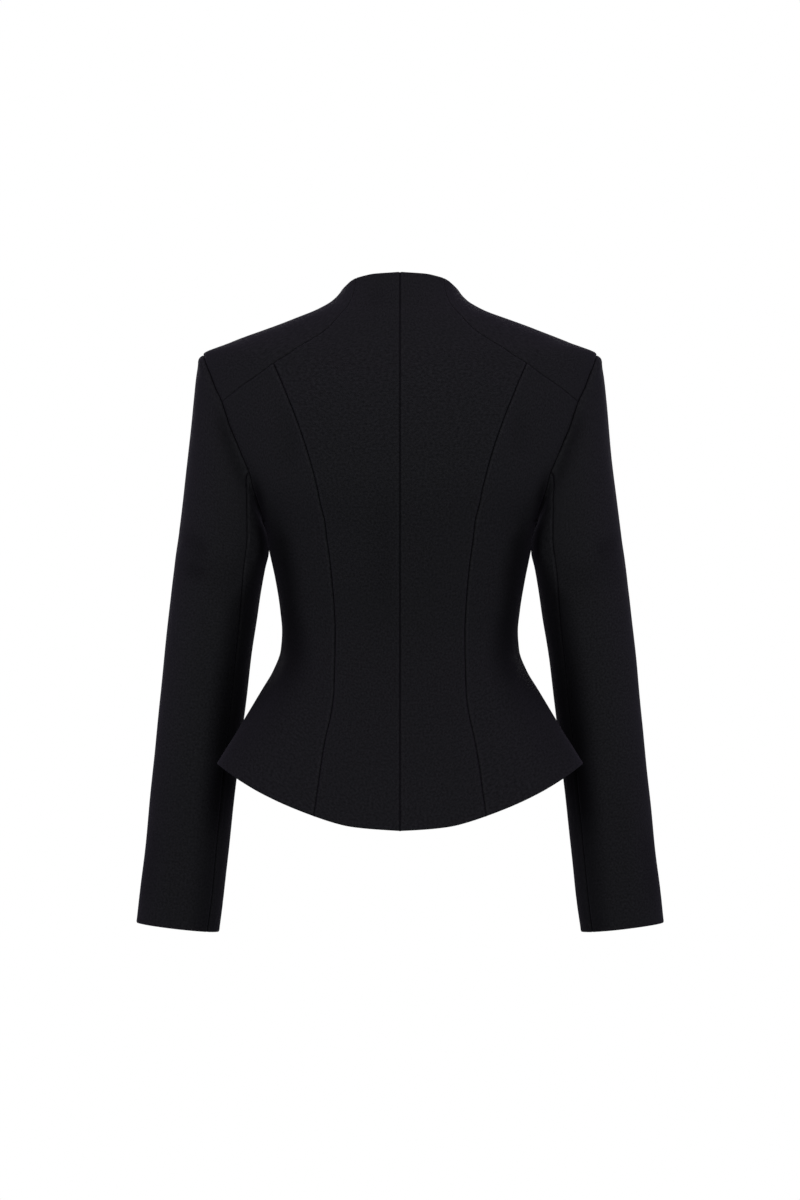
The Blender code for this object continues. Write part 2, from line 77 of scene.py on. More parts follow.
# What the shaders' inputs are all over a surface.
CREPE = {
    "Roughness": 0.78,
    "Specular IOR Level": 0.022,
    "Specular Tint": (0.78, 0.7, 1.0, 1.0),
    "Sheen Weight": 0.03,
    "Sheen Roughness": 0.45,
    "Sheen Tint": (0.62, 0.56, 0.78, 1.0),
}
BUMP = {"Strength": 0.5, "Distance": 0.00025}
PAINT = {"Base Color": (0.81, 0.85, 0.8, 1.0), "Roughness": 0.9, "Specular IOR Level": 0.1}
# The crepe's patterns, in spots to a metre across and along it, and the ends of its mottled colour.
Noise = namedtuple("Noise", "scale_x scale_y detail roughness")
YARN = Noise(2400.0, 1300.0, 2.0, 0.6)
PEBBLE = Noise(900.0, 700.0, 2.0, 0.55)
MOTTLE = Noise(460.0, 420.0, 3.0, 0.55)
COLOURS = [
    (0.4, (0.0065, 0.0066, 0.0075, 1.0)),
    (0.6, (0.0146, 0.0147, 0.0169, 1.0)),
]

MM = 0.001
SHELL = 1.3
SEAM_OVERLAP = 0.02
LAP_LIFT = 2.6

Torso = namedtuple("Torso", "height half_width back_y front_y side_y")
TORSO = table(Torso, [
    (30, 52, -50, 40, -4),
    (20, 57, -54, 42, -4),
    (10, 62, -58, 44, -4),
    (0, 70.8, -62, 46, -3),
    (-10, 87.5, -66, 49, -2),
    (-20, 113, -71, 53, -1),
    (-32, 145, -76, 60, 0),
    (-45, 179, -81, 67, 0),
    (-58, 209, -86, 73, 0),
    (-75, 212, -91, 80, 0),
    (-100, 212, -97, 91, 0),
    (-130, 208.5, -101, 104, 0),
    (-160, 199, -103, 115, 0),
    (-190, 182, -102.5, 123, 0),
    (-212, 163.5, -100.5, 126.5, 0),
    (-225, 152, -98.5, 126.5, 0),
    (-236, 145, -96.5, 125, 0),
    (-250, 141, -94, 122, 0),
    (-265, 138.5, -91.5, 117, 0),
    (-297, 132, -85.5, 107, 0),
    (-329, 126.6, -80, 101, -1),
    (-350, 124.6, -78, 99.5, -2),
    (-371, 126.2, -80, 101, -4),
    (-392, 133.9, -85.5, 104.5, -8),
    (-413, 146, -92, 108.5, -13),
    (-440, 162, -101, 114, -20),
    (-490, 192.3, -119.5, 126, -34),
    (-530, 215.5, -134, 134, -44),
    (-565, 236, -146, 140, -50),
])
# How full each section is: 2 in both is an ellipse, and a corner under 2 draws the side to an edge.
SECTION_POWER = 2.25
CORNER = 2.0
TIP_BACK_CORNER = 1.9
TIP_FRONT_CORNER = 1.0
CORNER_HEIGHT = (-400, -500)

# Shaping by the seams and darts, in or out of the plain section.
Rise = namedtuple("Rise", "front x height toward_y width_x width_z")
RISES = table(Rise, [
    (True, 88, -212, 12, 42, 52),
    (False, 80, -130, -5, 50, 75),
    (False, 0, -230, 3, 18, 190),
])

# Edges of the right half.
Edge = namedtuple("Edge", "x height")
BACK_PRINCESS = table(Edge, [
    (132.2, -70.5), (102.9, -142.3), (84.2, -208.2),
    (72.3, -283.6), (67.9, -359.4), (68.9, -415.8),
    (79.1, -471.5), (89, -541),
])
YOKE_SEAM = table(Edge, [
    (46.5, 10.4), (48, 4.9), (52.5, -4.9),
    (60.9, -17), (70.2, -28.3), (85.8, -40.7),
    (109.7, -56.2), (132.2, -70.5), (149.9, -83.4),
    (166.3, -94.2),
])
BACK_HEM = table(Edge, [
    (0, -555.7), (24.7, -554.3), (49.5, -551.8),
    (74.2, -545.9), (89, -541), (99.2, -538.1),
    (124.3, -527.3), (149.8, -515.7), (167.1, -505.9),
    (192.3, -490),
])
FRONT_HEM = table(Edge, [
    (0, -518), (20, -520), (60, -519),
    (105, -512), (150, -502), (192.3, -490),
])
FRONT_PRINCESS = table(Edge, [
    (105, -512), (93, -430), (88, -350),
    (92, -285), (101, -225), (121, -184),
    (148, -162),
])
# The right front's free edge, which crosses the centre front below the neck and comes back to it.
WRAP_EDGE = table(Edge, [
    (61.6, 5), (61, 0), (60.2, -5),
    (59.3, -10), (57.2, -20), (49.9, -50),
    (35, -100), (15, -150), (0, -185),
    (-18, -230), (-38, -280), (-54, -320),
    (-62, -347), (-60, -375), (-54, -410),
    (-42, -445), (-24, -480), (0, -518),
])
Place = namedtuple("Place", "turn height")
BACK_NECK = table(Place, [
    (0, 26.4), (33, 24.7), (44.6, 22.9),
    (54.7, 21.2), (61, 19.4), (67, 17.7),
    (71, 15.8), (76.5, 13.9), (82, 12),
    (90, 10.2),
])
YOKE_NECK_TURN = 55
SIDE_TURN = 90
FRONT_TURN = 180
TIP_HEIGHT = -490
RIDGE_HEIGHT = 10.2

# Stations round the right armhole, shared by the torso's pieces and the sleeve.
ARMHOLE = table(Place, [
    (90, -235.5), (80, -231), (70, -217),
    (62.6, -200), (58.5, -184), (58, -159),
    (59.5, -136.5), (62.2, -110.4), (66.5, -95),
    (72, -77), (80, -63), (90, -58),
    (97, -60.5), (103, -68), (108, -80),
    (112, -95), (115.5, -112), (118.5, -131),
    (120.5, -150), (121.5, -172), (119, -195),
    (112, -214), (102, -229),
])
UNDERARM = 0
SLEEVE_BACK_SEAM = 4
YOKE_END = 7
SHOULDER_TIP = 11
PRINCESS_END = 18
SLEEVE_FRONT_SEAM = 20
STATIONS = len(ARMHOLE)

# Sections of the right sleeve: its outer and inner points in the front view, and its form in depth.
Sleeve = namedtuple("Sleeve", "outer_x outer_z inner_x inner_z centre_y half_depth back_seam")
SLEEVE = table(Sleeve, [
    (212.5, -63, 145.3, -236.5, 3, 60, 118),
    (216, -80, 144.3, -240.5, 3, 60.5, 119),
    (218.8, -106, 141.6, -246, 2, 61, 120),
    (221.5, -135, 139.4, -252.5, 1, 60.5, 119.2),
    (224.5, -165, 138.7, -260, 1, 60, 120),
    (228.6, -200, 139.1, -269, 2, 59.5, 122),
    (233.4, -238, 142.6, -284, 4, 58.5, 124.8),
    (238.8, -277, 147.7, -312, 6, 56.5, 128),
    (244.5, -322, 151.8, -340, 10, 54, 130),
    (250.1, -372.2, 158.5, -382.7, 16, 51, 132),
    (255.8, -424.5, 165.3, -435.1, 24, 48.5, 134),
    (261.5, -479.1, 171.9, -489.1, 33, 46.5, 135),
    (267.1, -531.7, 178.2, -541.8, 41, 44.5, 136),
    (273.1, -585.5, 184.4, -595.6, 48, 42.5, 137),
    (279, -630.3, 189.2, -640.4, 54, 41, 138),
    (282.8, -663.5, 193.9, -673.6, 59, 40, 138),
])
SLEEVE_FRONT_ANGLE = 231
CAP_RINGS = 4
# The inner faces' mitre at the armhole: its most, in walls, how far down the sleeve its lean is read,
# and the leans where it starts and is full.
LONGEST_MITRE = 1.6
MITRE_STEP = 0.2
MITRE_LEAN = (0.1, -0.25)

# The lap: from which x and height the right front rises over the left one, and where it is all up.
LAP_X = (84, 64)
LAP_HEIGHT = (-90, -165)

# Steps along the pieces' edges, as they are cut in the solids.
SKIRT_ROWS = 14
ARM_ROWS = 7
YOKE_ROWS = 4
INNER_YOKE_STEPS = 6
OUTER_YOKE_STEPS = 6
BACK_COLUMNS = 5
FRONT_SIDE_COLUMNS = 5
BACK_ROW_SPLIT = -250
FRONT_ROW_SPLIT = -135
WRAP_DENSITY = 4
FINE_STEPS = 240
TURN_STEP = 1.0
HEIGHT_STEP = 1.5
SLEEVE_STEP = 0.05
# Where a sleeve is measured: its length on so many lines, and its width on these sections.
LENGTH_LINES = 9
WIDTH_SECTIONS = np.array([1.0, 6.0])

# The shell's own mesh: close lines of points beside each edge, then even ones.
EDGE_LINES = [0, 0.45, 0.95, 1.5, 2.15, 2.95, 4, 5.4, 7.2, 9.5]
EVEN_STEP = 3.0

# What the sewing does to the cloth beside each kind of edge: how deep the seam's slit is, how the
# cloth rolls into it or round the edge, how it swells beside that, how much painted shade darkens the
# slit or the rolled edge, and how much a painted highlight brightens the cloth a little way from it.
Sewing = namedtuple("Sewing", "slit roll roll_width swell swell_at swell_width dark bright")
SEWING = {
    "seam": Sewing(1.5, 0.3, 1.6, 0.3, 3.2, 1.7, 0.93, 0.1),
    "lit_seam": Sewing(1.5, 0.3, 1.6, 0.36, 3.0, 1.6, 0.93, 0.24),
    "yoke": Sewing(0.55, 0.2, 1.2, 0.14, 2.6, 1.6, 0.4, 0.05),
    "armhole": Sewing(1.5, 0.5, 2.0, 0.1, 4.5, 2.5, 0.95, 0.0),
    "cap": Sewing(1.5, 0.5, 2.0, 1.0, 6.5, 4.5, 0.95, 0.1),
    "fold": Sewing(0.0, 0.5, 0.65, 0.08, 2.2, 1.5, 0.3, 0.0),
    "hem": Sewing(0.0, 0.5, 0.65, 0.08, 2.4, 1.6, 0.3, 0.0),
}
SLIT_WIDTH = 0.55
INNER_SLIT = 0.75
# How wide the painted shade along the slit is, and where the painted highlight beside it lies and how wide.
SLIT_SHADE_WIDTH = 0.52
HIGHLIGHT_AT = 2.3
HIGHLIGHT_WIDTH = 0.8
# The cap swells over these shares of the way round it, from its back and from its front.
CAP_START = (0.0, 0.25)
CAP_END = (1.0, 0.8)
# The seam allowances end and are all there at these distances from the edge, and the hem at its own.
ALLOWANCE = (12.5, 9.5)
ALLOWANCE_RISE = 0.1
HEM_DEPTH = 34.0
HEM_DIP = 0.12
HEM_DIP_WIDTH = 1.6
TURN_IN = 0.45
TURN_REACH = 0.65
MITRE_REACH = 3.5
# The back princess seam above the waist is the mean of its line at these shares of the reach.
WAIST_HEIGHT = -320.0
SOFT_REACH = 36.0
SOFT_SHARES = np.array([-1.0, -0.7, -0.4, -0.15, 0.15, 0.4, 0.7, 1.0])
EDGE_SPAN = 6
LOOP_PAD = 8
LOOP_SAMPLES = 1200
# Where on the cloth's roll the left pieces are cut, in metres, away from the right ones.
LEFT_CUT_AT = (0.93, 0.41)

# Soft creases of the back and then of the front, seen flat from there: a line from one point to another
# with a bow in it, how far the cloth rises there, and its width on the line's two sides.
Crease = namedtuple("Crease", "x z to_x to_z bow rise width lee")
BODY_CREASES = [table(Crease, [
    (-119, -108, -108, -188, 3, -1.6, 8, 14),
    (-139, -124, -131, -176, 2, 0.9, 7, 9),
    (126, -110, 120, -168, -3, -1.4, 12, 8),
    (146, -128, 137, -186, -2, -0.9, 8, 9),
    (-19, 17, -23, -8, 0, -1.3, 9, 9),
    (-10, -180, -13, -345, -3, -1.1, 8, 13),
    (17, -214, 15, -330, 2, -0.5, 12, 8),
    (-122, -352, -172, -478, 6, -2.3, 11, 17),
    (121, -350, 168, -486, -7, -2.5, 18, 11),
    (-52, -388, -63, -520, 3, 1.6, 14, 18),
    (55, -392, 60, -528, -3, 1.4, 17, 14),
    (-108, -318, -78, -330, 2, -0.9, 5, 7),
    (112, -334, 84, -343, -2, -0.9, 6, 5),
    (104, -300, 78, -306, 1, -0.6, 5, 6),
]), table(Crease, [
    (-50, -345, 36, -270, 7, -1.5, 7, 10),
    (-44, -352, 62, -312, 5, -1.3, 6, 10),
    (-34, -362, 74, -352, -2, -1.0, 6, 8),
    (-40, -378, 44, -436, -6, -1.2, 8, 11),
    (-88, -298, -64, -338, 3, -0.9, 6, 8),
    (-104, -336, -72, -352, 2, -0.8, 6, 7),
    (106, -330, 84, -344, -2, -0.7, 6, 6),
    (142, -128, 108, -200, -8, -1.0, 9, 13),
    (-138, -132, -104, -208, 8, -0.9, 12, 9),
    (-118, -376, -150, -478, 5, -1.2, 10, 15),
    (122, -380, 156, -470, -5, -1.1, 14, 10),
])]
SLEEVE_CREASES = [table(Crease, [
    (-242, -251, -200, -266, 4, -1.5, 8, 10),
    (-240, -284, -204, -296, 3, -1.2, 7, 9),
    (240, -256, 202, -270, -4, -1.5, 10, 8),
    (246, -301, 214, -309, -3, -0.9, 8, 7),
    (-150, -262, -178, -350, -6, -1.6, 8, 12),
    (152, -268, 184, -362, 6, -1.6, 12, 8),
    (-250, -560, -256, -655, 2, 1.1, 9, 12),
    (246, -520, 252, -628, -2, 1.1, 12, 9),
    (-200, -470, -222, -600, 4, -0.9, 14, 18),
    (204, -455, 226, -585, -4, -0.9, 18, 14),
]), table(Crease, [
    (160, -352, 212, -322, 5, -1.9, 8, 12),
    (162, -384, 222, -360, 4, -1.6, 8, 12),
    (168, -420, 216, -404, 3, -1.1, 8, 11),
    (-158, -344, -216, -318, -5, -1.8, 12, 8),
    (-163, -378, -214, -352, -4, -1.7, 11, 8),
    (-168, -410, -222, -392, -3, -1.0, 11, 8),
    (158, -250, 186, -176, 8, -1.3, 9, 12),
    (-156, -246, -182, -170, -8, -1.2, 12, 9),
    (226, -560, 240, -650, 3, -0.7, 10, 14),
    (-222, -548, -240, -640, -3, -0.7, 14, 10),
])]
# Where the back's cloth gets painted shade: under the arms and in its deeper dents. The rise is how
# much of the colour the painted shade takes away.
BODY_SHADES = [table(Crease, [
    (-153, -186, -137, -284, 1, 0.72, 5, 5),
    (153, -186, 137, -284, -1, 0.72, 5, 5),
    (-12, -196, -15, -345, -2, 0.08, 8, 15),
    (-23, 12, -26, -14, 0, 0.1, 10, 12),
    (-118, -116, -110, -186, 2, 0.09, 8, 13),
    (128, -118, 122, -170, -2, 0.09, 13, 8),
])]
SLEEVE_SHADES = [table(Crease, [
    (-153, -192, -137, -284, 1, 0.78, 7, 9),
    (153, -192, 137, -284, -1, 0.78, 9, 7),
    (-192, -118, -160, -204, 0, 0.3, 4, 9),
    (192, -118, 160, -204, 0, 0.3, 9, 4),
    (-236, -252, -200, -270, 3, 0.24, 9, 12),
    (-228, -284, -204, -294, 2, 0.18, 8, 9),
    (238, -256, 204, -272, -3, 0.24, 12, 9),
    (-248, -280, -168, -296, 0, 0.12, 16, 16),
    (248, -282, 168, -298, 0, 0.12, 16, 16),
    (-262, -560, -276, -650, 2, 0.16, 10, 14),
    (262, -560, 276, -650, -2, 0.16, 14, 10),
])]
# The painted shade between the body and a sleeve: how much of the colour it takes away, and how far
# from the sleeve's inner line or the body's side line it reaches.
Shadow = namedtuple("Shadow", "height depth reach")
BODY_SHADOW = table(Shadow, [
    (-225, 0.0, 20), (-245, 0.35, 26), (-259, 0.52, 34),
    (-281, 0.58, 34), (-323, 0.55, 30), (-365, 0.52, 38),
    (-387, 0.46, 46), (-408, 0.32, 56), (-440, 0.14, 64),
    (-500, 0.04, 64),
])
SLEEVE_SHADOW = table(Shadow, [
    (-236, 0.0, 10), (-250, 0.4, 11), (-265, 0.56, 13),
    (-281, 0.54, 18), (-302, 0.58, 26), (-323, 0.62, 38),
    (-365, 0.64, 42), (-408, 0.72, 44), (-450, 0.76, 44),
    (-493, 0.82, 45), (-514, 0.88, 44), (-535, 0.84, 43),
    (-556, 0.68, 42), (-577, 0.52, 42), (-620, 0.42, 42),
    (-674, 0.4, 40),
])
# How near a line the painted shade is full, as a share of its reach, and the most of the colour that the
# painted shade of the shade rows and the lines may take away.
SHADOW_CORE = 0.36
DARKEST = 0.9
# How far the cloth looks toward the back or the front where its creases and its painted shades start
# and where they are full, and where along its line a crease starts, is full, fades and ends.
CREASE_TURN = (-0.1, 0.35)
SHADE_TURN = (-0.6, 0.0)
CREASE_START = (-0.12, 0.3)
CREASE_END = (1.12, 0.7)
# Painted shade for the less light lower down: where it starts, where it is full, and how much goes.
BODY_FALL = (-170, -240, 0.08)
SLEEVE_FALL = (-430, -560, 0.08)
# Slow waves through the cloth, in radians to a millimetre, and how high they are.
Wave = namedtuple("Wave", "x y z phase height")
WAVES = table(Wave, [
    (0.061, 0.043, 0.019, 0.4, 0.16),
    (-0.034, 0.052, 0.047, 2.1, 0.15),
    (0.083, -0.027, 0.031, 4.4, 0.1),
    (0.022, 0.071, -0.066, 1.3, 0.1),
    (0.112, 0.058, -0.048, 5.2, 0.05),
])

# Each piece as it is cut, in millimetres and square millimetres.
Cut = namedtuple("Cut", "piece width length area")
CUTS = table(Cut, [
    ("back_centre", 140, 600, 51100),
    ("back_side", 145, 500, 46700),
    ("front", 225, 660, 94500),
    ("front_side", 130, 350, 36200),
    ("upper_sleeve", 245, 620, 119500),
    ("under_sleeve", 105, 460, 38300),
])

Run = namedtuple("Run", "kind points per_step")
Panel = namedtuple("Panel", "points normals ways inward near_hole edges")
Look = namedtuple("Look", "creases shades shadow line fall")


class Track:
    """A smooth line through the rows of a table that never swings past them."""

    def __init__(self, rows):
        rows = sorted(rows)
        self.keys = np.array([row[0] for row in rows], float)
        self.values = np.array([row[1] for row in rows], float)
        runs = np.diff(self.keys)
        rises = np.diff(self.values) / runs
        slopes = [rises[0]]
        for before, after, run, next_run in zip(rises, rises[1:], runs, runs[1:]):
            if before * after <= 0:
                slopes.append(0.0)
            else:
                long, short = 2 * next_run + run, next_run + 2 * run
                slopes.append((long + short) / (long / before + short / after))
        slopes.append(rises[-1])
        self.slopes = np.array(slopes)

    def __call__(self, key):
        key = np.asarray(key, float)
        i = np.clip(np.searchsorted(self.keys, key, side="right") - 1, 0, len(self.keys) - 2)
        run = self.keys[i + 1] - self.keys[i]
        t = (key - self.keys[i]) / run
        rise = self.values[i + 1] - self.values[i]
        a, b = self.slopes[i] * run, self.slopes[i + 1] * run
        return self.values[i] + t * (a + t * (3 * rise - 2 * a - b + t * (a + b - 2 * rise)))


def column(rows, name, key="height"):
    """One column of a table against another, as a smooth line."""
    return Track([(getattr(row, key), getattr(row, name)) for row in rows])


def ease(start, stop, value):
    """0 at start, 1 at stop, and smooth between."""
    t = np.clip((value - start) / (stop - start), 0.0, 1.0)
    return t * t * (3 - 2 * t)


def bell(off, width):
    """1 on a line, and falling off smoothly to both sides of it."""
    return np.exp(-(off / width) ** 2)


def unit(vectors):
    return vectors / np.maximum(np.linalg.norm(vectors, axis=-1, keepdims=True), 1e-9)


def dot(a, b):
    return (a * b).sum(axis=-1, keepdims=True)


half_width, back_y, front_y, side_y = (column(TORSO, name) for name in Torso._fields[1:])
neck_height = column(BACK_NECK, "height", "turn")
sleeve_line = column(SLEEVE, "inner_x", "inner_z")


def torso_point(places):
    """The cloth's outer face at places (turn, height) round the torso."""
    turn, height = np.radians(places[..., 0]), places[..., 1]
    sine = np.sin(turn)
    x = half_width(height) * sine
    front = np.cos(turn) < 0
    tip_corner = np.where(front, TIP_FRONT_CORNER, TIP_BACK_CORNER)
    corner = CORNER + (tip_corner - CORNER) * ease(*CORNER_HEIGHT, height)
    centre = np.where(front, front_y(height), back_y(height))
    round_share = np.maximum(0.0, 1 - np.abs(sine) ** SECTION_POWER)
    depth = round_share ** (1 / corner)
    y = side_y(height) + (centre - side_y(height)) * depth
    for rise in RISES:
        near = bell(np.abs(x) - rise.x, rise.width_x) * bell(height - rise.height, rise.width_z)
        y = y + (front == rise.front) * rise.toward_y * depth * near
    return np.stack([x, y, height], axis=-1)


def torso_normal(places):
    """The way that the outer face looks."""
    turn, height = np.array([TURN_STEP, 0.0]), np.array([0.0, HEIGHT_STEP])
    across = torso_point(places + turn) - torso_point(places - turn)
    up = torso_point(places + height) - torso_point(places - height)
    return unit(np.cross(across, up))


def back_place(x, height):
    """Turn and height of a point of the right back, from its x."""
    return math.degrees(math.asin(min(1.0, x / half_width(height)))), float(height)


def front_place(x, height):
    """Turn and height of a point of the right front, from its x."""
    return FRONT_TURN - back_place(x, height)[0], float(height)


def shares(start, stop, count):
    return [start + (stop - start) * i / count for i in range(count + 1)]


def lengths_along(points):
    """The length of a line of points up to each of them."""
    steps = np.linalg.norm(np.diff(points, axis=0), axis=-1)
    return np.concatenate([np.zeros((1,) + steps.shape[1:]), np.cumsum(steps, axis=0)])


def spread(line, start, stop, count):
    """Places along a line, evenly spaced on the cloth."""
    places = np.array([line(value) for value in shares(start, stop, FINE_STEPS)])
    run = lengths_along(torso_point(places))
    goals = np.linspace(0.0, run[-1], count + 1)
    return [tuple(np.interp(goal, run, places[:, k]) for k in range(2)) for goal in goals]


def edge_run(kind, places, per_step=1):
    """A stretch of edge through places, so many to a step, which carries on straight past its ends."""
    places = np.array(places, float)
    before, after = 2 * places[0] - places[1], 2 * places[-1] - places[-2]
    return Run(kind, np.vstack([before, places, after]), per_step)


def armhole_run(first, last):
    """The armhole's edge from one station up or down to another."""
    way = 1 if last > first else -1
    stations = [ARMHOLE[j % STATIONS] for j in range(first - way, last + 2 * way, way)]
    return Run("armhole", np.array(stations, float), 1)


def curve(points, steps):
    """A smooth line through all but the end points, read at fractional steps along it."""
    steps = np.asarray(steps, float)
    i = np.clip(np.floor(steps).astype(int), 0, len(points) - 4)
    before, start, stop, after = (points[i + k] for k in range(4))
    t = (steps - i)[..., None]
    bend = 2 * before - 5 * start + 4 * stop - after
    twist = 3 * start - before - 3 * stop + after
    return start + 0.5 * t * (stop - before + t * (bend + t * twist))


def corners(edge):
    """Where an edge's runs start and end, in steps."""
    return np.concatenate([[0], np.cumsum([(len(run.points) - 3) // run.per_step for run in edge])])


def follow(edge, steps):
    """Places along an edge of several runs."""
    places = np.empty((len(steps), 2))
    ends = corners(edge)
    for run, start, stop in zip(edge, ends, ends[1:]):
        inside = (steps >= start) & (steps <= stop)
        places[inside] = curve(run.points, (steps[inside] - start) * run.per_step)
    return places


def kinds_along(edge, steps):
    """The kind of edge at each step."""
    which = np.clip(np.searchsorted(corners(edge)[1:], steps, side="left"), 0, len(edge) - 1)
    return np.array([edge[i].kind for i in which])


def close_lines(length, close=(True, True)):
    """Distances along a length: close together at the ends that are edges, and even between."""
    low = np.array(EDGE_LINES if close[0] else [0.0])
    high = np.array(EDGE_LINES if close[1] else [0.0])
    middle = max(int(round((length - low[-1] - high[-1]) / EVEN_STEP)), 2)
    even = np.linspace(low[-1], length - high[-1], middle + 1)
    return np.concatenate([low[:-1], even, (length - high[:-1])[::-1]])


def fine_steps(edges, close=(True, True)):
    """Steps for the mesh's lines that run across from one edge to the other, with one at each corner."""
    ends = np.unique(np.concatenate([corners(edge) for edge in edges]))
    steps = np.linspace(0, ends[-1], FINE_STEPS + 1)
    run = sum(lengths_along(torso_point(follow(edge, steps))) for edge in edges) / len(edges)
    fine = np.interp(close_lines(run[-1], close), run, steps)
    for end in ends:
        fine[np.argmin(np.abs(fine - end))] = end
    return fine


def fill(bottom, top, left, right, across, up):
    """Places inside four edges that meet at their ends, as rows from the bottom up."""
    low, high = follow(bottom, across)[None], follow(top, across)[None]
    start, stop = follow(left, up)[:, None], follow(right, up)[:, None]
    u, v = (across / across[-1])[None, :, None], (up / up[-1])[:, None, None]
    low = low - (1 - u) * low[:, :1] - u * low[:, -1:]
    high = high - (1 - u) * high[:, :1] - u * high[:, -1:]
    return (1 - v) * low + v * high + (1 - u) * start + u * stop


def softened(line, heights):
    """A smooth line's values at heights, with its bends above the waist spread out."""
    heights = np.array(heights)[:, None]
    reach = np.clip(np.minimum(heights - WAIST_HEIGHT, heights.max() - heights), 0.0, SOFT_REACH)
    return line(heights + reach * SOFT_SHARES).mean(axis=1)


def back_heights(hem_height):
    """Heights of the middle back's rows, from its hem up to the yoke."""
    low = shares(hem_height, BACK_ROW_SPLIT, SKIRT_ROWS)
    return low + shares(BACK_ROW_SPLIT, BACK_PRINCESS[0].height, ARM_ROWS)[1:]


def back_princess_places():
    line, heights = column(BACK_PRINCESS, "x"), back_heights(BACK_PRINCESS[-1].height)
    return [back_place(x, height) for x, height in zip(softened(line, heights), heights)]


def yoke_places():
    """The back yoke seam from the neck to the princess seam, and from there to the armhole."""
    neck_end = (YOKE_NECK_TURN, float(neck_height(YOKE_NECK_TURN)))
    arm_end = tuple(ARMHOLE[YOKE_END])
    neck_x, arm_x = (torso_point(np.array(end, float))[0] for end in (neck_end, arm_end))
    rows = [(edge.x, edge.height) for edge in YOKE_SEAM]
    line = Track([(neck_x, neck_end[1])] + rows + [(arm_x, arm_end[1])])

    def place(x):
        return back_place(x, line(x))

    inner = spread(place, neck_x, BACK_PRINCESS[0].x, INNER_YOKE_STEPS)
    outer = spread(place, BACK_PRINCESS[0].x, arm_x, OUTER_YOKE_STEPS)
    return [neck_end] + inner[1:], outer[:-1] + [arm_end]


def side_seam_places():
    return [(SIDE_TURN, height) for height in shares(TIP_HEIGHT, ARMHOLE[UNDERARM].height, SKIRT_ROWS)]


def hem_places(hem, place, start_x, stop_x, count):
    """Places along a hem, which come close together where it runs into its side tip."""
    line, tip_x = column(hem, "height", "x"), hem[-1].x
    turns = shares(math.asin(start_x / tip_x), math.asin(stop_x / tip_x), count)
    return [place(x, line(x)) for x in [tip_x * math.sin(turn) for turn in turns]]


def front_princess_places():
    end = ARMHOLE[PRINCESS_END]
    rows = [(edge.height, edge.x) for edge in FRONT_PRINCESS]
    line = Track(rows + [(end.height, torso_point(np.array(end, float))[0])])
    places = spread(lambda height: front_place(line(height), height),
                    FRONT_PRINCESS[0].height, end.height, SKIRT_ROWS)
    return places[:-1] + [tuple(end)]


def wrap_edge_places():
    """The front's free edge, from the hem up to where the neckline meets the shoulder's ridge."""
    top_x = half_width(RIDGE_HEIGHT)
    line = Track([(edge.height, edge.x) for edge in WRAP_EDGE] + [(RIDGE_HEIGHT, top_x)])

    def place(height):
        return front_place(line(height), height)

    low = spread(place, WRAP_EDGE[-1].height, FRONT_ROW_SPLIT, SKIRT_ROWS * WRAP_DENSITY)
    high = spread(place, FRONT_ROW_SPLIT, RIDGE_HEIGHT, ARM_ROWS * WRAP_DENSITY)
    return low + high[1:-1] + [(SIDE_TURN, RIDGE_HEIGHT)]


def torso_panel(places, edges):
    points, normals = torso_point(places), torso_normal(places)
    no_hole = np.zeros(points.shape[:2])
    return with_armhole(Panel(points, normals, normals, -normals * SHELL, no_hole, edges))


def one_patch(bottom, top, left, right):
    """A panel that four edges bound."""
    across, up = fine_steps([bottom, top]), fine_steps([left, right])
    return torso_panel(fill(bottom, top, left, right, across, up), {
        "bottom": kinds_along(bottom, across),
        "top": kinds_along(top, across),
        "left": kinds_along(left, up),
        "right": kinds_along(right, up),
    })


def back_centre_panel():
    heights = back_heights(BACK_HEM[0].height)
    heights += shares(BACK_PRINCESS[0].height, BACK_NECK[0].height, INNER_YOKE_STEPS)[1:]
    hem = hem_places(BACK_HEM, back_place, 0, BACK_PRINCESS[-1].x, BACK_COLUMNS)
    neck = [(turn, float(neck_height(turn))) for turn in shares(0, YOKE_NECK_TURN, BACK_COLUMNS)]
    return one_patch(
        [edge_run("hem", hem)],
        [edge_run("fold", neck)],
        [edge_run("seam", [(0.0, height) for height in heights])],
        [edge_run("seam", back_princess_places()), edge_run("yoke", yoke_places()[0][::-1])],
    )


def back_side_panel():
    side = side_seam_places()
    hem = hem_places(BACK_HEM, back_place, BACK_PRINCESS[-1].x, BACK_HEM[-1].x, OUTER_YOKE_STEPS)
    return one_patch(
        [edge_run("hem", hem[:-1] + [side[0]])],
        [edge_run("yoke", yoke_places()[1])],
        [edge_run("lit_seam", back_princess_places())],
        [edge_run("seam", side), armhole_run(UNDERARM, YOKE_END)],
    )


def front_side_panel():
    side, princess = side_seam_places(), front_princess_places()
    hem = hem_places(FRONT_HEM, front_place, FRONT_HEM[-1].x, FRONT_PRINCESS[0].x, FRONT_SIDE_COLUMNS)
    return one_patch(
        [edge_run("hem", [side[0]] + hem[1:-1] + [princess[0]])],
        [armhole_run(UNDERARM + STATIONS, PRINCESS_END)],
        [edge_run("seam", side)],
        [edge_run("seam", princess)],
    )


